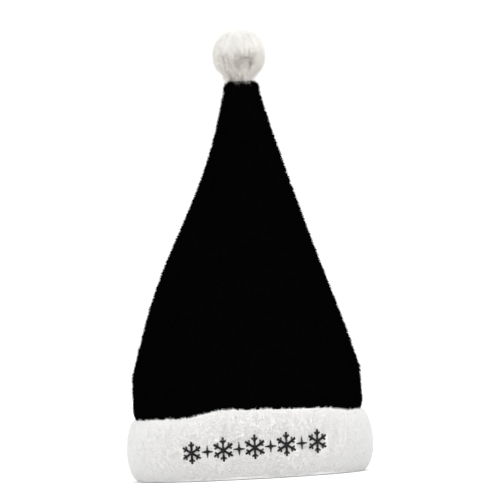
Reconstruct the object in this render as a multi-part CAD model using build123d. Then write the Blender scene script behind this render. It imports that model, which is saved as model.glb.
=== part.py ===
from build123d import *
import math
import os

# A soft plush party hat that stands on its turned-up cuff, in millimetres.
# +Z is up, the embroidered front faces -Y, and +X is to the right of someone facing the front.
# The origin is the centre of the head opening, on the plane that the cuff rests on.

# Head opening: the oval inside the lining, for a head of about 58 cm
head_half_width = 108.0
head_half_depth = 72.0

# Cloth, and the air between two layers that only lie against each other
lining_thickness = 1.0
plush_thickness = 2.5
layer_gap = 0.3
seam_gap = 0.6
thread_width = 0.8

# Cuff: a strip of plush folded round a band of wadding
cuff_height = 62.0
cuff_thickness = 11.0
cuff_leg = 3.0
cuff_edge_radius = 4.5
joining_seam_height = 6.0
hem_lift = 3.0

# Crown: two plush panels, straight at the sides up to the shoulder, then tapering to the neck
crown_height = 395.0
neck_height = 384.0
shoulder_rise = 42.0
shoulder_billow = 1.7
shoulder_flattening = 1.8
neck_half_width = 17.0
neck_half_depth = 14.0
side_wave = 0.028
tip_lean = 10.0
lean_start = 170.0
lean_end = 340.0
tip_flat_share = 0.35

# Folds of the crown: the height of each fold line, and half the height of the cloth that bends there
lower_fold_height = 190.0
lower_fold_half = 24.0
upper_fold_height = 290.0
upper_fold_half = 15.0

# Lining: two thin panels that close over the head
lining_height = 155.0
lining_top_share = 0.5
lining_side_share = 1.5

# Embroidery on the cuff's front: snowflakes with small stars between them
motif_count = 9
row_length = 146.0
row_centre = 5.0
row_height = 31.0
row_tilt = 2.0
flake_radius = 10.5
flake_arm = 1.8
star_radius = 5.5
star_waist = 1.7
stitch_height = 1.0
stitch_clearance = 0.05
backing_thickness = 0.5
backing_margin = 6.0

# Pompom: a gathered fur ball over stuffing, tied to the crown's tip by a knotted thread
pompom_half_width = 28.5
pompom_half_height = 25.0
fur_thickness = 8.0
pompom_lift = 3.0
knot_radius = 1.4
knot_gap = 0.2
gather_thread_radius = 0.5
gather_ring_radius = 2.1
gather_ring_lift = 1.3

# Distances out from the head oval, layer by layer
lining_out = lining_thickness
crown_in = lining_out + layer_gap
crown_out = crown_in + plush_thickness
cuff_in = crown_out + layer_gap
cuff_out = cuff_in + cuff_thickness
pocket_in = cuff_in + cuff_leg
pocket_out = cuff_out - cuff_leg
backing_out = pocket_out - layer_gap
backing_in = backing_out - backing_thickness

shoulder_height = cuff_height + shoulder_rise
shoulder_half_width = head_half_width + crown_out + shoulder_billow
shoulder_half_depth = head_half_depth + crown_out - shoulder_flattening
knot_height = crown_height + knot_gap + knot_radius
pompom_height = crown_height + pompom_lift + pompom_half_height
beyond = 2.0 * (head_half_width + cuff_out)

os.makedirs("parts", exist_ok=True)


def save(node, solid):
    """Write one node's solids to its own STEP file."""
    export_step(solid, f"parts/{node}.step")


def save_group(node, shapes):
    """Write several separate solids to one node's STEP file."""
    save(node, Compound(children=[solid for shape in shapes for solid in shape.solids()]))


def steps_between(bottom, top, count):
    """Values from bottom to top in equal steps, both ends included."""
    return [bottom + (top - bottom) * i / count for i in range(count + 1)]


def smooth_step(share):
    """An S-shaped rise from 0 to 1."""
    share = min(max(share, 0.0), 1.0)
    return share * share * (3 - 2 * share)


def half_ring(side, half_width, half_depth, wall, z, centre_x=0.0):
    """The front (-1) or back (+1) half of an oval ring with straight seam ends, or of a disc if wall is 0."""
    end = seam_gap / 2
    outer_angle = math.degrees(math.asin(end / half_depth))
    outer = EllipticalCenterArc((0, 0), half_width, half_depth, outer_angle, arc_size=180 - 2 * outer_angle)
    if wall:
        inner_depth = half_depth - wall
        inner_angle = math.degrees(math.asin(end / inner_depth))
        inner_size = 180 - 2 * inner_angle
        inner = EllipticalCenterArc((0, 0), half_width - wall, inner_depth, inner_angle, arc_size=inner_size)
        edges = [outer, Line(outer @ 1, inner @ 1), inner, Line(inner @ 0, outer @ 0)]
    else:
        edges = [outer, Line(outer @ 1, outer @ 0)]
    turn = 0 if side > 0 else 180
    return Pos(centre_x, 0, z) * Rot(0, 0, turn) * make_face(edges)


def crown_outline(z):
    """Half-width, half-depth and sideways place of the crown's outer face at height z."""
    taper = (z - shoulder_height) / (neck_height - shoulder_height)
    if taper <= 0:
        ease = smooth_step((z - cuff_height) / shoulder_rise)
        half_width = head_half_width + crown_out + shoulder_billow * ease
        half_depth = head_half_depth + crown_out - shoulder_flattening * ease
    else:
        taper = min(taper, 1.0)
        width_share = 1 - taper + side_wave * math.sin(2 * math.pi * taper)
        half_width = neck_half_width + (shoulder_half_width - neck_half_width) * width_share
        half_depth = neck_half_depth + (shoulder_half_depth - neck_half_depth) * (1 - taper) ** 2
    if z > neck_height:
        rise = (z - neck_height) / (crown_height - neck_height)
        closing = max(math.sqrt(max(1 - rise * rise, 0.0)), tip_flat_share)
        half_width = half_width * closing
        half_depth = half_depth * closing
    lean = tip_lean * smooth_step((z - lean_start) / (lean_end - lean_start))
    return half_width, half_depth, lean


def crown_panel(side, heights):
    """One plush panel between the first and last of these heights."""
    rings = []
    for z in heights:
        half_width, half_depth, lean = crown_outline(z)
        rings.append(half_ring(side, half_width, half_depth, plush_thickness, z, lean))
    return loft(rings, ruled=True)


def crown_tip_cap(side):
    """The bunched cloth that closes one panel over the tip."""
    discs = []
    for z in steps_between(neck_height, crown_height, 4):
        half_width, half_depth, lean = crown_outline(z)
        discs.append(half_ring(side, half_width, half_depth, 0.0, z, lean))
    return loft(discs, ruled=True)


def seam_thread(side, heights):
    """The thread of the left (-1) or right (+1) side seam, in the middle of the plush."""
    sections = []
    for z in heights:
        half_width, _, lean = crown_outline(z)
        x = lean + side * (half_width - plush_thickness / 2)
        sections.append(Pos(x, 0, z) * Rectangle(thread_width, seam_gap))
    return loft(sections, ruled=True)


def make_crown():
    """The front and back plush panels and their side seam threads, cut at the folds."""
    lower_top = lower_fold_height - lower_fold_half
    middle_bottom = lower_fold_height + lower_fold_half
    middle_top = upper_fold_height - upper_fold_half
    tip_bottom = upper_fold_height + upper_fold_half
    below_shoulder = [hem_lift, cuff_height, cuff_height + shoulder_rise / 2]
    zones = {
        "lower": below_shoulder + steps_between(shoulder_height, lower_top, 2),
        "lower_fold": steps_between(lower_top, middle_bottom, 2),
        "middle": steps_between(middle_bottom, middle_top, 2),
        "upper_fold": steps_between(middle_top, tip_bottom, 2),
        "tip": steps_between(tip_bottom, neck_height, 3),
    }
    for zone, heights in zones.items():
        for side, name in ((-1, "front"), (1, "back")):
            panel = crown_panel(side, heights)
            if zone == "tip":
                panel = panel + crown_tip_cap(side)
            save(f"crown_{name}_{zone}", panel)
        save_group(f"side_seam_threads_{zone}", [seam_thread(-1, heights), seam_thread(1, heights)])


def lining_outline(z):
    """Half-width and half-depth of the lining's outer face at height z."""
    rise = max(0.0, (z - cuff_height) / (lining_height - cuff_height))
    share = 1 - (1 - lining_top_share) * rise ** lining_side_share
    return (head_half_width + lining_out) * share, (head_half_depth + lining_out) * share


def make_lining():
    """Two thin panels, closed over the head, and the threads of the seam between them."""
    heights = [hem_lift] + steps_between(cuff_height, lining_height, 4)
    roof_bottom = lining_height - lining_thickness
    for side, name in ((-1, "front"), (1, "back")):
        rings = [half_ring(side, *lining_outline(z), lining_thickness, z) for z in heights]
        roof = half_ring(side, *lining_outline(lining_height), 0.0, roof_bottom)
        save(f"lining_{name}", loft(rings, ruled=True) + extrude(roof, amount=lining_thickness))
    threads = []
    for side in (-1, 1):
        sections = []
        for z in heights:
            x = side * (lining_outline(z)[0] - lining_thickness / 2)
            sections.append(Pos(x, 0, z) * Rectangle(thread_width, seam_gap))
        threads.append(loft(sections, ruled=True))
    save_group("lining_seam_threads", threads)


def oval_band(inner, outer, bottom, top):
    """An upright band round the head oval, between two distances out from it."""
    outside = Pos(0, 0, bottom) * Ellipse(head_half_width + outer, head_half_depth + outer)
    inside = Pos(0, 0, bottom) * Ellipse(head_half_width + inner, head_half_depth + inner)
    return extrude(outside - inside, amount=top - bottom)


def make_cuff():
    """The folded strip, its wadding and the threads that close it and join it to the crown."""
    band = oval_band(cuff_in, cuff_out, 0.0, cuff_height)
    rims = band.edges().filter_by(lambda e: e.bounding_box().size.Z < cuff_edge_radius)
    strip = fillet(rims, cuff_edge_radius)
    strip = strip - oval_band(pocket_in, pocket_out, cuff_leg, cuff_height - cuff_leg)
    slit_top = joining_seam_height + thread_width
    strip = strip - oval_band(crown_out, pocket_in + layer_gap, joining_seam_height, slit_top)
    back_slit = Pos(0, beyond / 2, cuff_height / 2) * Box(seam_gap, beyond, 2 * cuff_height)
    save("cuff_strip", strip - back_slit)

    wadding_in = pocket_in + layer_gap
    wadding_out = backing_in - layer_gap
    wadding = oval_band(wadding_in, wadding_out, cuff_leg + layer_gap, cuff_height - cuff_leg - layer_gap)
    save("cuff_wadding", wadding - back_slit)

    save("cuff_joining_thread", oval_band(crown_out, pocket_in, joining_seam_height, slit_top))

    straight_top = cuff_height - cuff_edge_radius
    stitches = oval_band(cuff_out - stitch_height, cuff_out + stitch_height, cuff_edge_radius, straight_top)
    save("cuff_back_seam_thread", stitches & back_slit)


def snowflake():
    """Six arms, each with one pair of short barbs."""
    arm = Rectangle(flake_arm, 2 * flake_radius)
    shape = arm + Rot(0, 0, 60) * arm + Rot(0, 0, 120) * arm
    barb = Pos(0, flake_radius / 6) * Rectangle(flake_arm, flake_radius / 3)
    for turn in range(6):
        for lean in (-50, 50):
            shape = shape + Rot(0, 0, 60 * turn) * Pos(0, flake_radius * 0.55) * Rot(0, 0, lean) * barb
    return shape


def small_star():
    """A plain four-pointed star."""
    points = []
    for i in range(8):
        radius = star_radius if i % 2 == 0 else star_waist
        angle = math.radians(45 * i)
        points.append((radius * math.cos(angle), radius * math.sin(angle)))
    return make_face(Polyline(*points, close=True))


def make_embroidery():
    """The row of raised motifs on the cuff's front, and the backing behind them."""
    half_width = head_half_width + cuff_out
    half_depth = head_half_depth + cuff_out
    step = (row_length - 2 * flake_radius) / (motif_count - 1)
    turn = math.radians(row_tilt)
    motifs = []
    for i in range(motif_count):
        along = (i - (motif_count - 1) / 2) * step
        x = row_centre + along * math.cos(turn)
        y = -half_depth * math.sqrt(1 - (x / half_width) ** 2)
        outward = Vector(x / half_width ** 2, y / half_depth ** 2, 0).normalized()
        foot = Vector(x, y, row_height + along * math.sin(turn)) + outward * stitch_clearance
        plane = Plane(origin=foot, x_dir=(-outward.Y, outward.X, 0), z_dir=outward)
        motifs.append(extrude(plane * (snowflake() if i % 2 == 0 else small_star()), amount=stitch_height))
    save_group("cuff_embroidery", motifs)

    half = row_length / 2 + backing_margin
    height = 2 * (flake_radius + backing_margin)
    window = Pos(row_centre, -beyond / 2, row_height) * Box(2 * half, beyond, height)
    save("embroidery_backing", oval_band(backing_in, backing_out, 0.0, cuff_height) & window)


def egg(half_width, half_height):
    """A ball squashed along Z, centred on the pompom."""
    return Pos(tip_lean, 0, pompom_height) * scale(Sphere(half_width), by=(1, 1, half_height / half_width))


def make_pompom():
    """The fur cover with its gathered mouth, the stuffing, and the two threads that hold it."""
    mouth_radius = gather_ring_radius + gather_thread_radius + layer_gap
    inner_width = pompom_half_width - fur_thickness
    inner_height = pompom_half_height - fur_thickness
    mouth = Pos(tip_lean, 0, pompom_height - pompom_half_height) * Cylinder(mouth_radius, pompom_half_height)
    save("pompom_cover", egg(pompom_half_width, pompom_half_height) - egg(inner_width, inner_height) - mouth)
    save("pompom_stuffing", egg(inner_width - layer_gap, inner_height - layer_gap))
    ring = Torus(gather_ring_radius, gather_thread_radius)
    save("pompom_gather_thread", Pos(tip_lean, 0, knot_height + gather_ring_lift) * ring)
    save("pompom_knot", Pos(tip_lean, 0, knot_height) * Sphere(knot_radius))


make_crown()
make_lining()
make_cuff()
make_embroidery()
make_pompom()
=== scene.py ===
# %% [markdown]
# # A plush party hat
# A soft black cone on a padded white cuff, with a row of stitched motifs and a fur pompom.
# Everything on it is cloth, so the whole look rests on three things: how the panels bulge and
# pucker, how the pile catches the light, and how dense the fur is. Smooth surfaces with a noisy
# bump would look like plastic, so the pile here is real geometry: tens of thousands of short
# tapered hairs that grow out of each surface.

# %% Load the frame
import math
import bpy
import bmesh
import numpy as np
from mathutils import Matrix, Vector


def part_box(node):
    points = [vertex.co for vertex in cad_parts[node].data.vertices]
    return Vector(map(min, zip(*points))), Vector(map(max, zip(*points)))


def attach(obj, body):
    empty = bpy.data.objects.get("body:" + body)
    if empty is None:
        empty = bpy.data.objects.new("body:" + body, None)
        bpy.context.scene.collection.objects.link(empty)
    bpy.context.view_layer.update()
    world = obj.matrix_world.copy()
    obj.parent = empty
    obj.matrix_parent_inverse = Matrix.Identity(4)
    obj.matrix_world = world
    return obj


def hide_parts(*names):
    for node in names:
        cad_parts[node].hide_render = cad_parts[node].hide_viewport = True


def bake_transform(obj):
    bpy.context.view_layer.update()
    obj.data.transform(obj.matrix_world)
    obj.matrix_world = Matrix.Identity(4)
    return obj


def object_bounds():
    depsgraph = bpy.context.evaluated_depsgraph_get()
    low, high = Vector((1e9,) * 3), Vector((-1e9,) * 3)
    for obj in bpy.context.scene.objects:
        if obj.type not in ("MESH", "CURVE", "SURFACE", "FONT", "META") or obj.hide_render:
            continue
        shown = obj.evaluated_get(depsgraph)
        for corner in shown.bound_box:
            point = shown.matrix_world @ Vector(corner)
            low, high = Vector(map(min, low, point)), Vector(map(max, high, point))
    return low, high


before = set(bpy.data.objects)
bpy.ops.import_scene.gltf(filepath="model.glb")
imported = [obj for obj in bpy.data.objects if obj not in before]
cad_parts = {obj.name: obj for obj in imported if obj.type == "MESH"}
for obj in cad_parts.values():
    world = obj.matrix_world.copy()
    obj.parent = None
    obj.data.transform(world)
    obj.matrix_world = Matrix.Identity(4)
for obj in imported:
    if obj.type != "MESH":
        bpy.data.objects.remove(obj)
cad_low, cad_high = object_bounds()
MM = 0.001
rng = np.random.default_rng(2031)

# %% [markdown]
# ## Sizes
# The frame already holds the hat at its real size. The cuff's box gives the outer oval, and the
# boxes of the two folding stretches give the heights where the crown bends. The few sizes that no
# box can tell, such as the cloth's thickness, are named here in millimetres, and every shape below
# is worked out in millimetres too.

# %% Sizes from the frame
cuff_box = [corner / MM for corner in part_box("cuff_strip")]
lower_fold_box = [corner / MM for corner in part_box("crown_front_lower_fold")]
upper_fold_box = [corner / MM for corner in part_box("crown_front_upper_fold")]
lining_box = [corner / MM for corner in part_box("lining_back")]
stuffing_box = [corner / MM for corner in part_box("pompom_stuffing")]
cover_box = [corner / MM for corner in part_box("pompom_cover")]
tip_box = [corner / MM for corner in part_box("crown_back_tip")]

cuff_half_width = cuff_box[1].x
cuff_half_depth = cuff_box[1].y
cuff_height = cuff_box[1].z
cuff_thickness = 11.0
hem_height = lining_box[0].z
plush_thickness = 2.5
layer_gap = 0.3
crown_half_width = cuff_half_width - cuff_thickness - layer_gap
crown_half_depth = cuff_half_depth - cuff_thickness - layer_gap
crown_top = tip_box[1].z
print(f"cuff {2 * cuff_half_width:.0f} x {2 * cuff_half_depth:.0f} x {cuff_height:.0f} mm")

# %% [markdown]
# ## From arrays to meshes
# Each surface is a grid: rows up the piece, columns round it. The points are worked out as one
# array, and the faces are only corner numbers, so nothing loops over vertices. `foreach_set` then
# copies both into a mesh at once.


# %% Grids and pieces
def grid_faces(rows, columns, closed_rows=False, closed_columns=False):
    """Corner numbers of the four-sided faces between neighbouring points of a rows by columns grid."""
    row, column = np.meshgrid(np.arange(rows if closed_rows else rows - 1),
                              np.arange(columns if closed_columns else columns - 1), indexing="ij")
    next_row, next_column = (row + 1) % rows, (column + 1) % columns
    corners = [row * columns + column, row * columns + next_column,
               next_row * columns + next_column, next_row * columns + column]
    return np.stack(corners, -1).reshape(-1, 4)


def unit(vectors):
    """The same directions, each one long."""
    return vectors / np.maximum(np.linalg.norm(vectors, axis=-1, keepdims=True), 1e-9)


def grid_normals(points, closed_rows=False, closed_columns=False):
    """Outward directions of a grid: the way round crossed with the way up, from neighbouring points."""
    def change(axis, closed):
        if closed:
            return np.roll(points, -1, axis) - np.roll(points, 1, axis)
        return np.gradient(points, axis=axis)
    return unit(np.cross(change(1, closed_columns), change(0, closed_rows)))


def make_piece(name, points, faces, material, slot, merge=False, **values):
    """A named object from points in millimetres and rows of corner numbers, with extra values for
    each point."""
    mesh = bpy.data.meshes.new(name)
    points = np.asarray(points, np.float32).reshape(-1, 3) * MM
    faces = np.asarray(faces, np.int32)
    mesh.vertices.add(len(points))
    mesh.vertices.foreach_set("co", points.ravel())
    mesh.loops.add(faces.size)
    mesh.loops.foreach_set("vertex_index", faces.ravel())
    mesh.polygons.add(len(faces))
    mesh.polygons.foreach_set("loop_start", np.arange(len(faces), dtype=np.int32) * faces.shape[1])
    mesh.update(calc_edges=True)
    mesh.polygons.foreach_set("use_smooth", np.ones(len(faces), bool))
    for key, value in values.items():
        attribute = mesh.attributes.new(key, "FLOAT", "POINT")
        attribute.data.foreach_set("value", np.asarray(value, np.float32).ravel())
    if merge:
        work = bmesh.new()
        work.from_mesh(mesh)
        bmesh.ops.remove_doubles(work, verts=work.verts, dist=0.02 * MM)
        work.to_mesh(mesh)
        work.free()
        mesh.set_sharp_from_angle(angle=math.radians(50))
    piece = bpy.data.objects.new(name, mesh)
    bpy.context.collection.objects.link(piece)
    mesh.materials.append(material)
    print(f"{name}: {len(mesh.polygons)} faces")
    return piece


def shell_of(outer, thickness):
    """Points and faces of a cloth: the outer grid, the same grid moved in by the thickness, and
    closed rims."""
    rows, columns = outer.shape[:2]
    inner = outer - grid_normals(outer) * np.broadcast_to(thickness, (rows, columns))[..., None]
    count = rows * columns
    outside = grid_faces(rows, columns)
    number = np.arange(count).reshape(rows, columns)
    loop = np.concatenate([number[0, :-1], number[:-1, -1], number[-1, :0:-1], number[:0:-1, 0]])
    ahead = np.roll(loop, -1)
    rim = np.stack([loop, loop + count, ahead + count, ahead], -1)
    faces = np.concatenate([outside, outside[:, ::-1] + count, rim])
    return np.concatenate([outer.reshape(-1, 3), inner.reshape(-1, 3)]), faces


# %% [markdown]
# ## Materials
# Black plush is polyester pile dyed nearly black. It swallows almost all light, so it gets no gloss
# and no sheen at all, and only its outline shows that it is hairy. White plush and fur are the same
# fibre undyed: rough, pale, and scattering a little light back at grazing angles, which the sheen
# does. The hairs carry two values, `along` from root to tip and a number for each hair, and the
# colour is mixed from them. On the pompom the number for each hair also carries painted shade, so
# the lower hairs are darker and warmer. Embroidery thread is twisted rayon, so it has a tighter gloss.


# %% Colours and nodes
def linear(hex_colour):
    """An sRGB hex colour as the linear values that shaders take, with full alpha."""
    parts = [int(hex_colour[i:i + 2], 16) / 255 for i in (1, 3, 5)]
    return [p / 12.92 if p <= 0.04045 else ((p + 0.055) / 1.055) ** 2.4 for p in parts] + [1.0]


def new_material(name, roughness, sheen=0.0, specular=0.5):
    """A Principled material with its fixed numbers, its node tree and its shader."""
    material = bpy.data.materials.new(name)
    material.use_nodes = True
    shader = material.node_tree.nodes["Principled BSDF"]
    shader.inputs["Roughness"].default_value = roughness
    shader.inputs["Sheen Weight"].default_value = sheen
    shader.inputs["Sheen Roughness"].default_value = 0.6
    shader.inputs["Specular IOR Level"].default_value = specular
    return material, material.node_tree, shader


def add(tree, kind, settings=None, **links):
    """A node of this kind, with its settings, and its inputs linked or set. Underscores stand for
    spaces."""
    node = tree.nodes.new(kind)
    for key, value in (settings or {}).items():
        setattr(node, key, value)
    for key, value in links.items():
        numbered = key[0] == "i" and key[1:].isdigit()
        socket = node.inputs[int(key[1:]) if numbered else key.replace("_", " ")]
        if isinstance(value, bpy.types.NodeSocket):
            tree.links.new(value, socket)
        else:
            socket.default_value = value
    return node


def mixed(tree, share, first, second):
    """A colour between two, by share."""
    node = add(tree, "ShaderNodeMix", {"data_type": "RGBA"}, i0=share, i6=first, i7=second)
    return node.outputs[2]


# %% Pile and fur
def pile_material(name, root, tip, dull_and_shade_colour, roughness, sheen, specular):
    """Hairs that go from a root colour to a tip colour, with every hair a little duller or clearer; the
    duller colour also serves as painted shade where a piece is given it.
    """
    material, tree, shader = new_material(name, roughness, sheen, specular)
    along = add(tree, "ShaderNodeAttribute", {"attribute_name": "along"}).outputs["Fac"]
    lot = add(tree, "ShaderNodeAttribute", {"attribute_name": "lot"}).outputs["Fac"]
    colour = mixed(tree, along, linear(root), linear(tip))
    colour = mixed(tree, lot, colour, linear(dull_and_shade_colour))
    tree.links.new(colour, shader.inputs["Base Color"])
    return material


def ground_material(name, base, patch, patch_size, roughness, sheen, specular=0.2):
    """The knitted backing that pile grows from: a fine uneven weave in two close colours, with a
    small bump."""
    material, tree, shader = new_material(name, roughness, sheen, specular)
    place = add(tree, "ShaderNodeTexCoord").outputs["Object"]
    noise = add(tree, "ShaderNodeTexNoise", Vector=place, Scale=1 / (patch_size * MM), Detail=4.0)
    colour = mixed(tree, noise.outputs["Fac"], linear(base), linear(patch))
    tree.links.new(colour, shader.inputs["Base Color"])
    bump = add(tree, "ShaderNodeBump", Height=noise.outputs["Fac"], Strength=0.35, Distance=0.4 * MM)
    tree.links.new(bump.outputs["Normal"], shader.inputs["Normal"])
    return material


def woven_material(name, base, thread, thread_spacing, roughness, sheen):
    """Plain-woven cloth: two sets of bands at right angles, a thread spacing apart, raised where
    they cross."""
    material, tree, shader = new_material(name, roughness, sheen, specular=0.4)
    place = add(tree, "ShaderNodeTexCoord").outputs["Object"]
    bands = []
    for direction in ("X", "Z"):
        wave = add(tree, "ShaderNodeTexWave", {"bands_direction": direction},
                   Vector=place, Scale=1 / (thread_spacing * MM * 20), Distortion=1.2, Detail=1.0)
        bands.append(wave.outputs["Fac"])
    product = add(tree, "ShaderNodeMath", {"operation": "MULTIPLY"}, i0=bands[0], i1=bands[1])
    crossing = product.outputs[0]
    colour = mixed(tree, crossing, linear(base), linear(thread))
    tree.links.new(colour, shader.inputs["Base Color"])
    bump = add(tree, "ShaderNodeBump", Height=crossing, Strength=0.5, Distance=0.3 * MM)
    tree.links.new(bump.outputs["Normal"], shader.inputs["Normal"])
    return material


black_ground = ground_material("black_plush_backing", "#020202", "#040404", 3.0, 0.95, 0.0, specular=0.0)
black_pile = pile_material("black_plush_pile", "#020202", "#0b0a0b", "#040404", 0.9, 0.0, specular=0.0)
white_ground = ground_material("white_plush_backing", "#f2f1f0", "#e6e4e1", 4.0, 0.95, 0.1)
white_pile = pile_material("white_plush_pile", "#f5f4f3", "#ffffff", "#f8f7f6", 0.85, 0.1, specular=0.1)
fur_ground = ground_material("white_fur_backing", "#faf6f0", "#f3eee6", 3.0, 0.95, 0.1)
# The fur's dull colour, warmer and darker, is also used as painted shade on the lower hairs of the
# pompom.
fur_pile = pile_material("white_fur_pile", "#f3f1ed", "#f7f6f3", "#dedad3", 0.8, 0.1, specular=0.1)
lining_cloth = woven_material("black_taffeta_lining", "#131214", "#1d1c1f", 0.6, 0.55, 0.1)
wadding_fibre = ground_material("polyester_wadding", "#efeeec", "#dedcd8", 2.0, 0.95, 0.3)
stabiliser = woven_material("white_stabiliser_cloth", "#e6e5e2", "#f2f1ef", 0.8, 0.8, 0.1)


# %% Threads
def thread_material(name, dark, light, roughness, twist):
    """Twisted thread: narrow slanting bands, a twist apart, between a dark and a light shade of
    one colour."""
    material, tree, shader = new_material(name, roughness, specular=0.25)
    place = add(tree, "ShaderNodeTexCoord").outputs["Object"]
    wave = add(tree, "ShaderNodeTexWave", {"bands_direction": "DIAGONAL"},
               Vector=place, Scale=1 / (twist * MM * 20), Distortion=0.6)
    colour = mixed(tree, wave.outputs["Fac"], linear(dark), linear(light))
    tree.links.new(colour, shader.inputs["Base Color"])
    return material


black_rayon = thread_material("black_rayon_embroidery_thread", "#020204", "#0c0b10", 0.5, 0.8)
black_thread = thread_material("black_polyester_thread", "#080808", "#121212", 0.6, 0.8)
white_thread = thread_material("white_polyester_thread", "#dcdad6", "#f1f0ed", 0.6, 0.8)


# %% [markdown]
# ## Hairs
# A hair is a thin three-sided spike. Its middle line starts at the root, runs along its own
# direction and bends a little, and three corners go round that line at each stop, closer together
# towards the tip. Three sides are enough: at this width nobody sees more, and a closed spike still
# casts a proper shadow from every side, which a flat ribbon does not. Roots are scattered by area,
# so a tapering piece isn't more crowded at its narrow end.


# %% Scatter and grow
def scatter(points, normals, count, weight=None, closed_rows=False, closed_columns=False):
    """Random places on a grid, as likely per area everywhere: cells by their area, then a place
    in each cell."""
    faces = grid_faces(*points.shape[:2], closed_rows, closed_columns)
    flat, flat_normals = points.reshape(-1, 3), normals.reshape(-1, 3)
    corner = flat[faces]
    area = np.linalg.norm(np.cross(corner[:, 2] - corner[:, 0], corner[:, 3] - corner[:, 1]), axis=1)
    if weight is not None:
        area = area * weight.reshape(-1)[faces].mean(1)
    chosen = rng.choice(len(faces), count, p=area / area.sum())
    u, v = rng.random((2, count, 1))
    a, b, c, d = np.moveaxis(faces[chosen], 1, 0)

    def inside(values):
        return (values[a] * (1 - u) * (1 - v) + values[b] * u * (1 - v)
                + values[c] * u * v + values[d] * (1 - u) * v)
    return inside(flat), unit(inside(flat_normals))


def hairs(roots, directions, lengths, widths, bends, stops=1):
    """Points, three-sided faces, and root-to-tip values of many spikes, one for each root."""
    count = len(roots)
    helper = np.where(np.abs(directions[:, 2:3]) < 0.9, [[0.0, 0.0, 1.0]], [[1.0, 0.0, 0.0]])
    side_a = unit(np.cross(directions, helper))
    side_b = np.cross(directions, side_a)
    rings = []
    along = []
    for k in range(stops):
        t = k / stops
        middle = roots + directions * (lengths * t)[:, None] + bends * (lengths * t * t)[:, None]
        reach = (widths * (1 - 0.7 * t) / 2)[:, None]
        for turn in (0.0, 2 * math.pi / 3, 4 * math.pi / 3):
            rings.append(middle + reach * (side_a * math.cos(turn) + side_b * math.sin(turn)))
            along.append(t)
    rings.append(roots + directions * lengths[:, None] + bends * lengths[:, None])
    along.append(1.0)
    per_hair = 3 * stops + 1
    points = np.stack(rings, 1).reshape(-1, 3)
    tip = per_hair - 1
    faces = [[2, 1, 0]]
    for k in range(stops - 1):
        low, high = 3 * k, 3 * k + 3
        for i in range(3):
            j = (i + 1) % 3
            faces += [[low + i, low + j, high + j], [low + i, high + j, high + i]]
    last = 3 * (stops - 1)
    faces += [[last, last + 1, tip], [last + 1, last + 2, tip], [last + 2, last, tip]]
    offsets = np.arange(count)[:, None, None] * per_hair
    return points, (np.array(faces)[None] + offsets).reshape(-1, 3), np.tile(along, count), per_hair


def ripple(x, y, count, shortest, longest):
    """Smooth uneven ground between about -1 and 1: a sum of sine waves with random directions and
    lengths."""
    total = np.zeros(np.broadcast(x, y).shape)
    for _ in range(count):
        length = rng.uniform(shortest, longest)
        angle, start = rng.uniform(0, 2 * math.pi, 2)
        total += np.sin((x * math.cos(angle) + y * math.sin(angle)) * 2 * math.pi / length + start)
    return total / math.sqrt(count)


def pile_piece(name, roots, directions, lengths, widths, bends, material, slot, stops=1, painted_shade=None):
    """One object of hairs. A value of 1 for a hair is its dull colour: by chance alone, or by painted
    shade for each hair as well."""
    points, faces, along, per_hair = hairs(roots, directions, lengths, widths, bends, stops)
    chance = rng.random(len(roots))
    lot = chance ** 2 if painted_shade is None else np.clip(0.3 * chance + painted_shade, 0, 1)
    return make_piece(name, points, faces, material, slot, along=along, lot=np.repeat(lot, per_hair))


# %% [markdown]
# ## The crown
# Two flat panels sewn at the sides make a form like a pillow: round in the middle and drawn to an
# edge at each seam. Its plan at every height is an oval whose front-to-back part is raised to a
# power a little over one, which pulls the ends to a point. Going up, the half-width keeps its size
# to the shoulder, then falls in a straight taper with a gentle S, and the half-depth falls faster,
# because the cloth lies flatter where nothing fills it. Small puckers along the seams and slow
# dents in the middle stop it looking like a turned cone.

# %% Crown sizes
shoulder_height = 104.0
neck_height = 384.0
shoulder_billow = 1.7
shoulder_flattening = 1.8
neck_half_width = 17.0
neck_half_depth = 14.0
side_wave = 0.028
tip_lean = 10.0
lean_start, lean_end = 170.0, 340.0
pucker_spacing = 15.0
dent_size, fan_size = 1.7, 0.9
middle_height = (lower_fold_box[1].z + upper_fold_box[0].z) / 2


def smooth_step(share):
    """An S-shaped rise from 0 to 1."""
    share = np.clip(share, 0, 1)
    return share * share * (3 - 2 * share)


# %% Crown outline
def crown_outline(z):
    """Half-width, half-depth and lean at height z: level to the shoulder, a taper to the neck,
    then a dome."""
    ease = smooth_step((z - cuff_height + 2) / 12)
    taper = np.clip((z - shoulder_height) / (neck_height - shoulder_height), 0, 1)
    wide = crown_half_width + shoulder_billow * ease
    deep = crown_half_depth - shoulder_flattening * ease
    share = 1 - taper + side_wave * np.sin(2 * math.pi * taper)
    wide = neck_half_width + (wide - neck_half_width) * share
    deep = neck_half_depth + (deep - neck_half_depth) * (1 - taper) ** 2
    rise = np.clip((z - neck_height) / (crown_top - neck_height), 0, 1)
    closing = (1 - rise ** 4) ** 0.25
    lean = tip_lean * smooth_step((z - lean_start) / (lean_end - lean_start))
    return wide * closing, deep * closing, lean


def crown_heights(bottom, top, count):
    """Heights from bottom to top, closer together towards the tip so that its dome is round."""
    heights = np.linspace(bottom, min(top, neck_height), count)
    if top > neck_height:
        angles = np.linspace(0, math.pi / 2, 19)[1:]
        heights = np.concatenate([heights, neck_height + (crown_top - neck_height) * np.sin(angles)])
    return heights


crown_dents = [(rng.uniform(34, 95), rng.uniform(0, math.pi), rng.uniform(0, 2 * math.pi))
               for _ in range(9)]


def dent_field(x, z, side):
    """Slow dents between about -1 and 1, the same wherever two pieces meet: a fixed sum of sine
    waves."""
    total = 0
    for length, angle, start in crown_dents:
        run = x * math.cos(angle) + z * math.sin(angle)
        total = total + np.sin(run * 2 * math.pi / length + start + side)
    return total / 3


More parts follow.
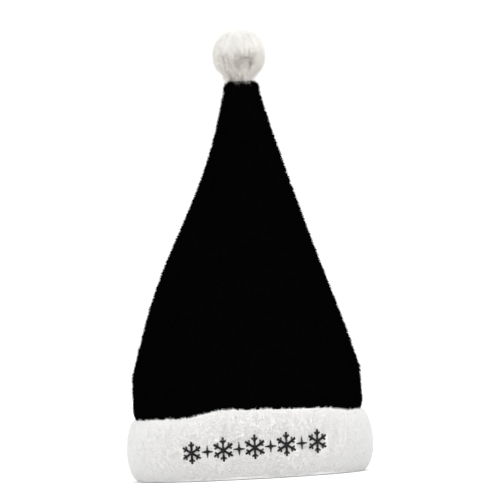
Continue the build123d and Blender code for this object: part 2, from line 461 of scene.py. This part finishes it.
def crown_panel(side, z, sweep):
    """The outer face of the front (-1) or back (+1) panel, at heights z and sweep angles from
    seam to seam."""
    z, sweep = z[:, None], sweep[None, :]
    wide, deep, lean = crown_outline(z)
    free = smooth_step((z - cuff_height + 4) / 36) * smooth_step((crown_top - z) / 60)
    point = 1 + 0.22 * smooth_step((z - cuff_height) / 60) * smooth_step((crown_top - z) / 120)
    x = lean + wide * np.cos(sweep)
    depth = deep * np.abs(np.sin(sweep)) ** point
    from_seam = depth + 0.35 * (wide - np.abs(x - lean))
    pucker = np.sin(2 * math.pi * z / pucker_spacing + 1.3 * np.sin(z / 23) + side)
    near_seam = np.exp(-from_seam / 9)
    fan = np.sin(5.5 * np.arctan2(x - lean, (crown_top + 60 - z) * 0.45) + side)
    fan = fan * smooth_step((z - 150) / 120)
    dents = dent_size * dent_field(x, z, side) + fan_size * fan
    depth = depth + free * (1 - near_seam) * dents * np.minimum(1, depth / 12)
    depth = depth + free * 0.8 * pucker * near_seam * (1 - np.exp(-from_seam / 2))
    x = x - np.sign(x - lean) * free * 0.5 * (1 + pucker) * near_seam
    groove = free * 1.3 * np.exp(-(from_seam / 2.2) ** 2)
    x = x - np.sign(x - lean) * groove
    return np.stack([x, side * np.maximum(depth, 0), np.broadcast_to(z, x.shape)], -1)


# %% [markdown]
# ### Panels and pile
# The crown folds at two heights, and a piece can bend across only one joint, so each panel is made
# in two lengths that meet half way between the folds. They share every point of the cut. Each
# length's entry names two bodies and the heights of a bend, a long stretch because plush is thick and
# never creases to a knife edge, but nothing reads them: the pieces are only fixed where they are made.

# %% Make the crown
panel_columns = 96
crown_pile_length = 3.4
stretches = {
    "lower": dict(z=crown_heights(hem_height, middle_height, 130), bodies=("hat_base", "crown_middle"),
                  bend=(138.0, middle_height), hairs=30000,
                  nodes=("lower", "lower_fold", "middle")),
    "upper": dict(z=crown_heights(middle_height, crown_top, 80), bodies=("crown_middle", "crown_tip"),
                  bend=(middle_height, 336.0), hairs=11000,
                  nodes=("upper_fold", "tip")),
}


def half_turn(side, count):
    """Angles from seam to seam over the front (-1) or the back (+1)."""
    return np.linspace(math.pi, 2 * math.pi, count) if side < 0 else np.linspace(0, math.pi, count)


def bend_with(piece):
    """Fixes a piece of one stretch of the crown where it is made, with its placement baked into its
    points; it is not tied to a body and does not bend."""
    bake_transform(piece)


def flat_size(points):
    """A panel's flat width, length and area: the widest row, the middle column, and all of its cells."""
    across = np.linalg.norm(np.diff(points, axis=1), axis=2)
    up = np.linalg.norm(np.diff(points, axis=0), axis=2)
    width = across.sum(1).max()
    length = up[:, up.shape[1] // 2].sum()
    area = (across[:-1] * (up[:, :-1] + up[:, 1:]) / 2).sum()
    return width * MM, length * MM, area * MM * MM


for side, name in ((-1, "front"), (1, "back")):
    sweep = half_turn(side, panel_columns)
    for part, stretch in stretches.items():
        outer = crown_panel(side, stretch["z"], sweep)
        normals = grid_normals(outer)
        cloth = make_piece(f"crown_{name}_{part}_cloth", *shell_of(outer, plush_thickness * 0.8),
                           black_ground, "crown_plush", merge=True)
        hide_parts(*[f"crown_{name}_{node}" for node in stretch["nodes"]])
        bend_with(cloth)
        width, length, area = flat_size(outer)
        print(f"  flat {width:.3f} x {length:.3f} m, area {area:.4f} m2")

        above_cuff = smooth_step((outer[..., 2] - (cuff_height - 14)) / 6)
        above_cuff = above_cuff * (outer[..., 2] < crown_top - 0.5)
        roots, out = scatter(outer, normals, stretch["hairs"], weight=above_cuff)
        lie = np.array([0.0, 0.0, -0.55])
        count = len(roots)
        directions = unit(out + lie + rng.normal(0, 0.28, (count, 3)))
        lengths = crown_pile_length * rng.uniform(0.7, 1.15, count)
        lengths = lengths * (0.3 + 0.7 * smooth_step((roots[:, 2] - cuff_height + 4) / 14))
        pile = pile_piece(f"crown_{name}_{part}_pile", roots - out * 0.3, directions, lengths,
                          rng.uniform(0.45, 0.75, count), lie * 0.3 + rng.normal(0, 0.08, (count, 3)),
                          black_pile, "crown_plush")
        bend_with(pile)


# %% [markdown]
# ### Side seams
# A lockstitch runs down each side, in the bottom of the groove between the panels. It is one thread
# that rises and dips once for each stitch, so it is made as a thin tube along a wavy line.


# %% Tubes
def tubes(paths, radius, outward, sides=6, closed=False):
    """Points and faces of one tube for each path of points: a ring round every point, square to
    the path."""
    count, stops = paths.shape[:2]
    forward = np.roll(paths, -1, 1) - np.roll(paths, 1, 1) if closed else np.gradient(paths, axis=1)
    forward = unit(forward)
    side_a = unit(np.cross(forward, outward))
    side_b = np.cross(side_a, forward)
    turn = np.arange(sides) * 2 * math.pi / sides
    radius = np.broadcast_to(radius, (count, stops))[..., None, None]
    ring = side_a[..., None, :] * np.cos(turn)[:, None] + side_b[..., None, :] * np.sin(turn)[:, None]
    points = paths[..., None, :] + ring * radius
    faces = grid_faces(stops, sides, closed_rows=closed, closed_columns=True)
    if not closed:
        for end in (0, (stops - 1) * sides):
            cap = end + np.array([[0, 1, 2, 3], [0, 3, 4, 5]])
            faces = np.concatenate([faces, cap[:, ::-1] if end == 0 else cap])
    offsets = np.arange(count)[:, None, None] * stops * sides
    return points.reshape(-1, 3), (faces[None] + offsets).reshape(-1, 4)


# %% Side seam threads
stitch_length = 3.6
for part, stretch in stretches.items():
    top = min(stretch["z"][-1], neck_height)
    z = np.linspace(stretch["z"][0], top, int((top - stretch["z"][0]) / 0.6))
    wide, _, lean = crown_outline(z)
    paths = []
    for side in (-1, 1):
        inset = 2.6 + 0.35 * np.cos(2 * math.pi * z / stitch_length)
        paths.append(np.stack([lean + side * (wide - inset), 0 * z, z], -1))
    points, faces = tubes(np.array(paths), 0.32, np.array([0.0, 1.0, 0.0]))
    seam = make_piece(f"side_seam_threads_{part}_stitches", points, faces, black_thread, "black_thread")
    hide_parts(*[f"side_seam_threads_{node}" for node in stretch["nodes"]])
    bend_with(seam)

# %% [markdown]
# ## The lining
# Two panels of thin woven cloth, sewn over the head in an arch. From below it is what one sees. Its
# plan is the head oval, upright as far as the cuff goes and then a dome, and shallow folds run up
# it because it is cut a little wide.

# %% Make the lining
lining_thickness = 0.7
lining_half_width = lining_box[1].x
lining_half_depth = lining_box[1].y
lining_top = lining_box[1].z
dome_angles = np.linspace(0, math.pi / 2, 40)[1:]
lining_z = np.concatenate([np.linspace(hem_height, cuff_height, 24),
                           cuff_height + (lining_top - cuff_height) * np.sin(dome_angles)])
lining_share = np.concatenate([np.ones(24), np.cos(dome_angles) ** 0.8])
for side, name in ((-1, "front"), (1, "back")):
    sweep = half_turn(side, 90)
    z, share = lining_z[:, None], lining_share[:, None]
    hang = smooth_step((z - hem_height - 6) / 30) * np.minimum(1, share * 1.5) * np.abs(np.sin(sweep))
    fold = 1 - 0.011 * hang * (1 + np.sin(sweep * 26 + 1.5 * np.sin(z / 31) + side))
    x = lining_half_width * share * fold * np.cos(sweep)
    y = lining_half_depth * share * fold * np.sin(sweep)
    outer = np.stack([x, y, np.broadcast_to(z, x.shape)], -1)
    panel = make_piece(f"lining_{name}_cloth", *shell_of(outer, lining_thickness), lining_cloth,
                       "lining_cloth", merge=True)
    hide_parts(f"lining_{name}")
    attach(panel, "hat_base")
    width, length, area = flat_size(outer)
    print(f"  flat {width:.3f} x {length:.3f} m, area {area:.4f} m2")

paths = []
for side in (-1, 1):
    x = side * (lining_half_width * lining_share[:-1] - 0.5)
    paths.append(np.stack([x, 0 * x, lining_z[:-1]], -1))
points, faces = tubes(np.array(paths), 0.35, np.array([0.0, 1.0, 0.0]))
lining_seam = make_piece("lining_seam_stitches", points, faces, black_thread, "black_thread")
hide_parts("lining_seam_threads")
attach(lining_seam, "hat_base")

# %% [markdown]
# ## The cuff
# One long strip of thick white plush, folded double round wadding and turned up. Its section is a
# tall rounded pad, and the section is carried round the head oval. The pile is five millimetres
# long and stands nearly straight out, so the ground under it is drawn in by the pile's length and
# the hairs fill the rest. That is also what makes the top and bottom edges so round. Where the
# strip's ends meet at the back, the closing seam draws in a groove.

# %% Cuff ground
pile_length = 4.6
section_middle = 31.3
section_half_height = 30.5
section_outer, section_inner = 6.2, 1.9
section_power = 2.2
edge_draw = 3.0
cuff_columns, cuff_rows = 420, 96
lump_size = 0.45
groove_depth, groove_half_width = 2.2, 2.6
cuff_lumps = [(rng.integers(3, 17), rng.integers(-2, 3), rng.uniform(0, 2 * math.pi))
              for _ in range(12)]


def power_wave(wave, power):
    """A sine or cosine with its curve squared off, which turns an oval into a rounded box."""
    return np.sign(wave) * np.abs(wave) ** (2 / power)


def top_swell(turn):
    """How much higher the cuff stands: a hump over most of the front, and a slight dip at both sides."""
    x = cuff_half_width * np.cos(turn)
    hump = smooth_step((x + 74) / 52) * smooth_step((114 - x) / 34) * (np.sin(turn) < 0)
    return (6.2 - 0.028 * x) * hump - 1.5 * np.abs(np.cos(turn)) ** 6


def cuff_surface(turn, around, lift=0.0):
    """The cuff's ground: a rounded section swept round the head oval, fuller outside than inside,
    with its edges
    drawn in, slow lumps, and the groove of the back seam. Lift moves every point away from the oval."""
    turn, around = np.broadcast_arrays(turn, around)
    up = power_wave(np.sin(around), section_power)
    out = power_wave(np.cos(around), section_power)
    out = out * np.where(out > 0, section_outer, section_inner)
    lump = sum(np.sin(k * turn + n * around + start) for k, n, start in cuff_lumps)
    lump = lump / math.sqrt(len(cuff_lumps))
    outward = smooth_step((np.cos(around) + 0.3) / 0.6)
    from_back = np.arctan2(np.cos(turn), np.sin(turn)) * cuff_half_width
    groove = groove_depth * np.exp(-(from_back / groove_half_width) ** 2) * (np.sin(turn) > 0)
    drawn_in = edge_draw * np.abs(up) ** 2.2 * np.where(up < 0, 1.5, 1)
    out = out + outward * (lump_size * lump - groove - drawn_in) + lift
    inset = pile_length * 0.72 + section_outer
    x = (cuff_half_width - inset + out) * np.cos(turn)
    y = (cuff_half_depth - inset + out) * np.sin(turn)
    rise = up * section_half_height + top_swell(turn) * smooth_step((up + 0.2) / 1.2)
    return np.stack([x, y, section_middle + rise], -1)


def section_angle(z):
    """Where round the section its outer side reaches height z."""
    share = np.clip((z - section_middle) / section_half_height, -1, 1)
    return np.arcsin(np.sign(share) * np.abs(share) ** (section_power / 2))


turn = np.linspace(0, 2 * math.pi, cuff_columns, endpoint=False)[None, :]
around = np.linspace(-math.pi, math.pi, cuff_rows, endpoint=False)[:, None]
ground = cuff_surface(turn, around)
ground_normals = grid_normals(ground, closed_rows=True, closed_columns=True)
cuff = make_piece("cuff_plush", ground, grid_faces(cuff_rows, cuff_columns, True, True),
                  white_ground, "cuff_plush")
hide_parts("cuff_strip", "cuff_wadding", "embroidery_backing")
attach(cuff, "hat_base")

# %% [markdown]
# ### The stitched row
# The motifs are satin stitch: a thread laid back and forth across each arm, so close that it makes
# a raised bar. Each stitch is one short arched tube. The layout is worked out flat, as arms with a
# start, an end and a width at each end, and then laid on the cuff's oval.

# %% Motif arms
motif_count = 9
row_length, row_centre, row_height = 146.0, 5.0, 31.0
row_tilt = math.radians(2.0)
flake_radius, flake_arm = 10.5, 1.9
star_radius = 5.5
oval_half_width, oval_half_depth = cuff_half_width - 1.0, cuff_half_depth - 1.0


def flake_arms():
    """Six arms from the middle, each with two short barbs: rows of start, end, and the width at both."""
    arms = []
    for angle in np.arange(6) * math.pi / 3 + math.pi / 2:
        tip = flake_radius * np.array([math.cos(angle), math.sin(angle)])
        arms.append([*(0.04 * tip), *tip, flake_arm, flake_arm])
        for lean in (-50, 50):
            barb = angle + math.radians(lean)
            end = 0.55 * tip + flake_radius / 3 * np.array([math.cos(barb), math.sin(barb)])
            arms.append([*(0.58 * tip), *end, flake_arm * 0.85, flake_arm * 0.85])
    return arms


def star_arms():
    """Four points that narrow from the middle."""
    arms = []
    for angle in np.arange(4) * math.pi / 2:
        tip = star_radius * np.array([math.cos(angle), math.sin(angle)])
        arms.append([*(0.02 * tip), *tip, 2.6, 0.5])
    return arms


row_arms = []
row_step = (row_length - 2 * flake_radius) / (motif_count - 1)
for i in range(motif_count):
    along = (i - (motif_count - 1) / 2) * row_step
    centre = np.array([row_centre + along * math.cos(row_tilt), row_height + along * math.sin(row_tilt)])
    slope = 1 / math.sqrt(1 + (oval_half_depth / oval_half_width ** 2 * centre[0]
                               / math.sqrt(1 - (centre[0] / oval_half_width) ** 2)) ** 2)
    for x0, z0, x1, z1, w0, w1 in flake_arms() if i % 2 == 0 else star_arms():
        row_arms.append([centre[0] + x0 * slope, centre[1] + z0,
                         centre[0] + x1 * slope, centre[1] + z1, w0, w1])
row_arms = np.array(row_arms)
print("embroidered arms", len(row_arms))


# %% Satin stitches
def on_cuff_front(x, z, height):
    """A point over the front of the cuff's ground, at x and z, raised by height."""
    around = section_angle(z)
    reach = cuff_surface(np.zeros_like(x), around, height)[..., 0]
    turn = -np.arccos(np.clip(x / reach, -1, 1))
    return cuff_surface(turn, around, height)


stitch_spacing, stitch_radius = 0.42, 0.27
satin_height, satin_lift = 1.6, 3.6
stitches = []
across = np.linspace(-1, 1, 7)
for x0, z0, x1, z1, w0, w1 in row_arms:
    length = math.hypot(x1 - x0, z1 - z0)
    count = max(2, int(length / stitch_spacing))
    t = np.linspace(0, 1, count)[:, None]
    jitter = rng.normal(0, 0.05, (count, 1))
    half = (w0 + (w1 - w0) * t) / 2 * rng.uniform(0.93, 1.05, (count, 1))
    dx, dz = (x1 - x0) / length, (z1 - z0) / length
    slant = 0.12 * across * half
    x = x0 + (x1 - x0) * t - dz * half * across + dx * (slant + jitter)
    z = z0 + (z1 - z0) * t + dx * half * across + dz * (slant + jitter)
    height = satin_lift + satin_height * (np.sqrt(np.maximum(1 - across ** 2, 0)) - 1)
    stitches.append(on_cuff_front(x, z, height * np.ones_like(x)))
stitches = np.concatenate(stitches)
points, faces = tubes(stitches, stitch_radius, np.array([0.0, -1.0, 0.0]) + 1e-3)
embroidery = make_piece("cuff_embroidery_stitches", points, faces, black_rayon, "embroidery_thread")
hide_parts("cuff_embroidery")
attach(embroidery, "hat_base")
print("satin stitches", len(stitches))


# %% [markdown]
# ### The cuff's pile
# Hairs stand out of the ground, lean a little with slow random drifts so that the surface looks
# stroked and dented, and are left out where the stitching presses the pile flat.

# %% Cuff pile
def distance_to_row(x, z):
    """How far each place on the front is from the nearest arm's edge, on the flat layout."""
    nearest = np.full(len(x), 99.0)
    for x0, z0, x1, z1, w0, w1 in row_arms:
        run = np.array([x1 - x0, z1 - z0])
        t = np.clip(((x - x0) * run[0] + (z - z0) * run[1]) / (run @ run), 0, 1)
        gap = np.hypot(x - x0 - t * run[0], z - z0 - t * run[1]) - (w0 + (w1 - w0) * t) / 2
        nearest = np.minimum(nearest, gap)
    return nearest


cuff_hairs = 170000
showing = smooth_step((np.cos(around) + 0.55) / 0.35) * np.ones_like(turn)
roots, out = scatter(ground, ground_normals, cuff_hairs, weight=showing, closed_rows=True,
                     closed_columns=True)
cuff_mean_radius = 105
round_place = np.arctan2(roots[:, 1] / cuff_half_depth, roots[:, 0] / cuff_half_width) * cuff_mean_radius
gap = np.where(roots[:, 1] < 0, distance_to_row(roots[:, 0], roots[:, 2]), 99.0)
keep = gap > 0.35
roots, out, round_place, gap = roots[keep], out[keep], round_place[keep], gap[keep]
count = len(roots)
drift_x = ripple(round_place, roots[:, 2], 12, 5, 17)
drift_z = ripple(round_place, roots[:, 2], 12, 5, 17)
tangent = unit(np.stack([-out[:, 1], out[:, 0], 0 * out[:, 0]], -1))
drift = 0.17 * drift_x[:, None] * tangent + 0.17 * drift_z[:, None] * [[0.0, 0.0, 1.0]]
directions = unit(out + drift + rng.normal(0, 0.26, (count, 3)) + [[0, 0, -0.10]])
near_row = smooth_step(gap / 3.0)
lengths = pile_length * rng.uniform(0.75, 1.08, count) * (0.66 + 0.34 * near_row)
lengths = lengths * (1 + 0.07 * ripple(round_place, roots[:, 2], 8, 4, 14))
lengths = lengths * (0.6 + 0.4 * smooth_step(roots[:, 2] / 9))
floor_limit = (0.1 - roots[:, 2]) / lengths
directions[:, 2] = np.maximum(directions[:, 2], floor_limit)
directions = unit(directions)
bends = 0.4 * drift + rng.normal(0, 0.08, (count, 3))
bends[:, 2] = np.maximum(bends[:, 2], np.minimum(0, (0.05 - roots[:, 2]) / lengths - directions[:, 2]))
widths = rng.uniform(0.36, 0.6, count)
quarter = (np.floor((np.arctan2(roots[:, 1], roots[:, 0]) + math.pi) / (math.pi / 2)).astype(int)) % 4
for number, place in enumerate(("front_left", "front_right", "back_right", "back_left")):
    mine = quarter == number
    pile = pile_piece(f"cuff_pile_{place}", roots[mine] - out[mine] * 0.4, directions[mine],
                      lengths[mine], widths[mine], bends[mine], white_pile, "cuff_plush")
    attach(pile, "hat_base")

# %% [markdown]
# ### The cuff's two seams
# A ladder of white stitches closes the strip at the back, at the bottom of the groove. A second row
# joins the cuff to the crown just above the rim, on the inside, where it can be seen from below.

# %% Cuff seams
z = np.arange(8.0, cuff_height - 7, 2.4)
ladder = np.linspace(-1.5, 1.5, 7)
x = np.broadcast_to(ladder, (len(z), 7))
groove_place = cuff_surface(math.pi / 2 + 0 * z, section_angle(z), 1.0)[:, 1]
y = groove_place[:, None] + 0.35 * np.cos(ladder * math.pi / 3)
paths = np.stack([x, y, z[:, None] + 0.25 * ladder], -1)
points, faces = tubes(paths, 0.32, np.array([0.0, 1.0, 0.0]))
closing = make_piece("cuff_back_seam_stitches", points, faces, white_thread, "white_thread")
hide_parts("cuff_back_seam_thread")
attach(closing, "hat_base")

joining_box = [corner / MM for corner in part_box("cuff_joining_thread")]
turns = np.linspace(0, 2 * math.pi, 1440, endpoint=False)
weave = 0.25 * np.sin(turns * 150)
joining_inset = layer_gap + 0.4
x = (crown_half_width + joining_inset + weave) * np.cos(turns)
y = (crown_half_depth + joining_inset + weave) * np.sin(turns)
z = joining_box[0].z - 1.2 + 0.4 * np.cos(turns * 150)
points, faces = tubes(np.stack([x, y, z], -1)[None], 0.3, np.array([0.0, 0.0, 1.0]), closed=True)
joining = make_piece("cuff_joining_stitches", points, faces, white_thread, "white_thread")
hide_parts("cuff_joining_thread")
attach(joining, "hat_base")

# %% [markdown]
# ## The pompom
# A circle of long-pile fur is gathered over a ball of stuffing and tied, so the fur stands out all
# round and the skin draws down to a small neck at the knot. Fur from a cheap pompom isn't an even
# brush: it lies in soft up-and-down streaks and swells into lobes. So each hair aims from its root
# at a point of a lobed outline, which is widest below the middle, and the aim drifts to and fro
# with smooth waves round the ball. Waves leave no cracks, where a pull to the nearest tuft would.
# The hairs are combed up a little, bend under their own weight, and the lowest ones hang over the
# top of the crown.

# %% Pompom skin
pompom_middle = np.array((cover_box[0] + cover_box[1]) / 2)
skin_half_width = (stuffing_box[1].x - stuffing_box[0].x) / 2 + 2.2
skin_half_height = (stuffing_box[1].z - stuffing_box[0].z) / 2 + 1.6
cover_half_width = (cover_box[1].x - cover_box[0].x) / 2
pompom_middle[2] = (stuffing_box[0].z + stuffing_box[1].z) / 2


def pompom_skin(direction):
    """Points of the gathered skin: a squashed ball, drawn down in pleats to a neck round the knot."""
    down = smooth_step((-direction[..., 2] - 0.86) / 0.14)
    angle = np.arctan2(direction[..., 1], direction[..., 0])
    pleat = 1 + 0.05 * down * np.sin(angle * 14)
    wide = skin_half_width * pleat
    scale = np.stack([wide, wide, skin_half_height * np.ones_like(down)], -1)
    place = direction * scale
    place[..., 2] -= 5.5 * down
    return place + pompom_middle


work = bmesh.new()
bmesh.ops.create_icosphere(work, subdivisions=6, radius=1.0)
ball_points = np.array([v.co for v in work.verts])
ball_faces = np.array([[v.index for v in f.verts] for f in work.faces])
work.free()
skin = make_piece("pompom_fur_skin", pompom_skin(unit(ball_points)), ball_faces, fur_ground,
                  "pompom_fur")
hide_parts("pompom_cover")
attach(skin, "pompom")

# %% Pompom fur
fur_hairs = 32000
outline_angles = np.radians([-90, -62, -40, -20, 0, 30, 52, 90])
outline_reach = [0.90, 1.03, 1.08, 1.06, 0.99, 0.93, 0.90, 0.92]
directions = unit(rng.normal(0, 1, (fur_hairs, 3)))
angle, height = np.arctan2(directions[:, 1], directions[:, 0]), directions[:, 2]
roots = pompom_skin(directions)
sideways = unit(np.cross([[0.0, 0.0, 1.0]], directions))
upward = np.cross(directions, sideways)


def streaks(count, fewest, most):
    """Smooth up-and-down stripes round the ball, between about -1 and 1, one value for each hair."""
    total = np.zeros(fur_hairs)
    for _ in range(count):
        climb, start = rng.uniform(-4, 4), rng.uniform(0, 2 * math.pi)
        total += np.sin(rng.integers(fewest, most) * angle + climb * height + start)
    return (total / math.sqrt(count))[:, None]


combed = 0.3 * smooth_step((height + 1.0) / 1.3) * smooth_step((1.0 - height) / 0.9)
aim = unit(directions + combed[:, None] * upward + 0.085 * streaks(7, 8, 20) * sideways
           + 0.07 * streaks(7, 3, 9) * upward + rng.normal(0, 0.045, (fur_hairs, 3)))
reach = cover_half_width * np.interp(np.arcsin(aim[:, 2]), outline_angles, outline_reach)[:, None]
reach = reach * (1 + 0.06 * streaks(6, 2, 6) + 0.028 * streaks(6, 8, 18))
fringe = smooth_step((-height - 0.72) / 0.12) * np.clip(0.2 + 0.6 * streaks(5, 9, 24)[:, 0], 0, 1)
growth = pompom_middle + aim * reach * (1 + 0.16 * fringe[:, None]) - roots
fur_length = np.linalg.norm(growth, axis=1) * rng.uniform(0.72, 1.02, fur_hairs)
growth = unit(unit(growth) + rng.normal(0, 0.06, (fur_hairs, 3)))
bends = rng.normal(0, 0.06, (fur_hairs, 3)) - np.stack([0 * height, 0 * height, 0.04 + 0.3 * fringe], -1)
widths = rng.uniform(0.26, 0.44, fur_hairs)
# Painted shade: hairs low on the ball get a larger value and so more of the duller, warmer colour, which
# stands in for the shade under the fur's mass.
fur_painted_shade = 0.8 * smooth_step((0.35 - height) / 1.3)
for name, mine in (("front", directions[:, 1] < 0), ("back", directions[:, 1] >= 0)):
    for half, chosen in (("upper", mine & (height >= 0)), ("lower", mine & (height < 0))):
        fur = pile_piece(f"pompom_fur_{name}_{half}", roots[chosen] - directions[chosen] * 0.5,
                         growth[chosen], fur_length[chosen], widths[chosen], bends[chosen], fur_pile,
                         "pompom_fur", stops=2, painted_shade=fur_painted_shade[chosen])
        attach(fur, "pompom")

# %% [markdown]
# ## What stays as it is
# The stuffing, the knot and the gathering thread are already the right shape and are nearly hidden,
# so they keep their own meshes and only get a finish.

# %% Finishes of the remaining nodes
for node, material in (("pompom_stuffing", wadding_fibre), ("cuff_wadding", wadding_fibre),
                       ("embroidery_backing", stabiliser), ("pompom_knot", white_thread),
                       ("pompom_gather_thread", white_thread)):
    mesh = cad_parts[node].data
    mesh.materials.clear()
    mesh.materials.append(material)

# %% [markdown]
# ## Light, floor and camera
# The hat is shown as in a catalogue: white all round, a soft key lamp from the upper right so that
# the pad and the fur still model, a low wide lamp that fills the cuff from the left, and two weaker
# ones above and behind. A long lens a few metres away keeps the cuff's edges almost straight. The
# camera is turned by three degrees, because the hat is seen leaning by that much.

# %% World and lamps
world = bpy.data.worlds.new("white_studio")
bpy.context.scene.world = world
world.use_nodes = True
world.node_tree.nodes["Background"].inputs["Color"].default_value = (1.0, 1.0, 1.0, 1.0)
world.node_tree.nodes["Background"].inputs["Strength"].default_value = 1.15
bpy.context.scene.view_settings.view_transform = "Standard"


def area_lamp(name, place, target, size, power):
    """A square soft lamp at a place, facing a target, in metres and watts."""
    light = bpy.data.lights.new(name, "AREA")
    light.size = size
    light.energy = power
    lamp = bpy.data.objects.new(name, light)
    bpy.context.collection.objects.link(lamp)
    lamp.location = place
    direction = Vector(target) - Vector(place)
    lamp.rotation_euler = direction.to_track_quat("-Z", "Y").to_euler()


centre_height = (cad_low.z + cad_high.z) / 2
area_lamp("key_lamp", (0.6, -2.4, 1.2), (0, 0, centre_height), 1.0, 28.0)
area_lamp("fill_lamp", (-0.9, -2.6, 0.25), (0, 0, 0.04), 1.2, 23.0)
area_lamp("top_lamp", (0.2, 0.3, 2.4), (0, 0, centre_height), 1.5, 12.0)
area_lamp("back_lamp", (-0.6, 2.6, 1.2), (0, 0, centre_height), 1.4, 18.0)

# %% Floor
floor_mesh = bpy.data.meshes.new("floor")
reach = 60.0
corners = [(-reach, -reach, 0), (reach, -reach, 0), (reach, reach, 0), (-reach, reach, 0)]
floor_mesh.from_pydata(corners, [], [(0, 1, 2, 3)])
floor = bpy.data.objects.new("floor", floor_mesh)
bpy.context.collection.objects.link(floor)
floor_material, _, floor_shader = new_material("matt_white_paper", 1.0, specular=0.0)
floor_shader.inputs["Base Color"].default_value = linear("#ffffff")
floor_mesh.materials.append(floor_material)

# %% Camera
camera_distance = 5.0
frame_width = 0.502
aim_x, aim_z = 0.0113, 0.2247
sensor_width = 36.0
camera_data = bpy.data.cameras.new("camera")
camera_data.sensor_width = sensor_width
camera_data.lens = sensor_width * camera_distance / frame_width
camera = bpy.data.objects.new("camera", camera_data)
bpy.context.collection.objects.link(camera)
camera.location = (aim_x, -camera_distance, aim_z)
camera.rotation_euler = (math.radians(90), math.radians(3.0), 0)
bpy.context.scene.camera = camera
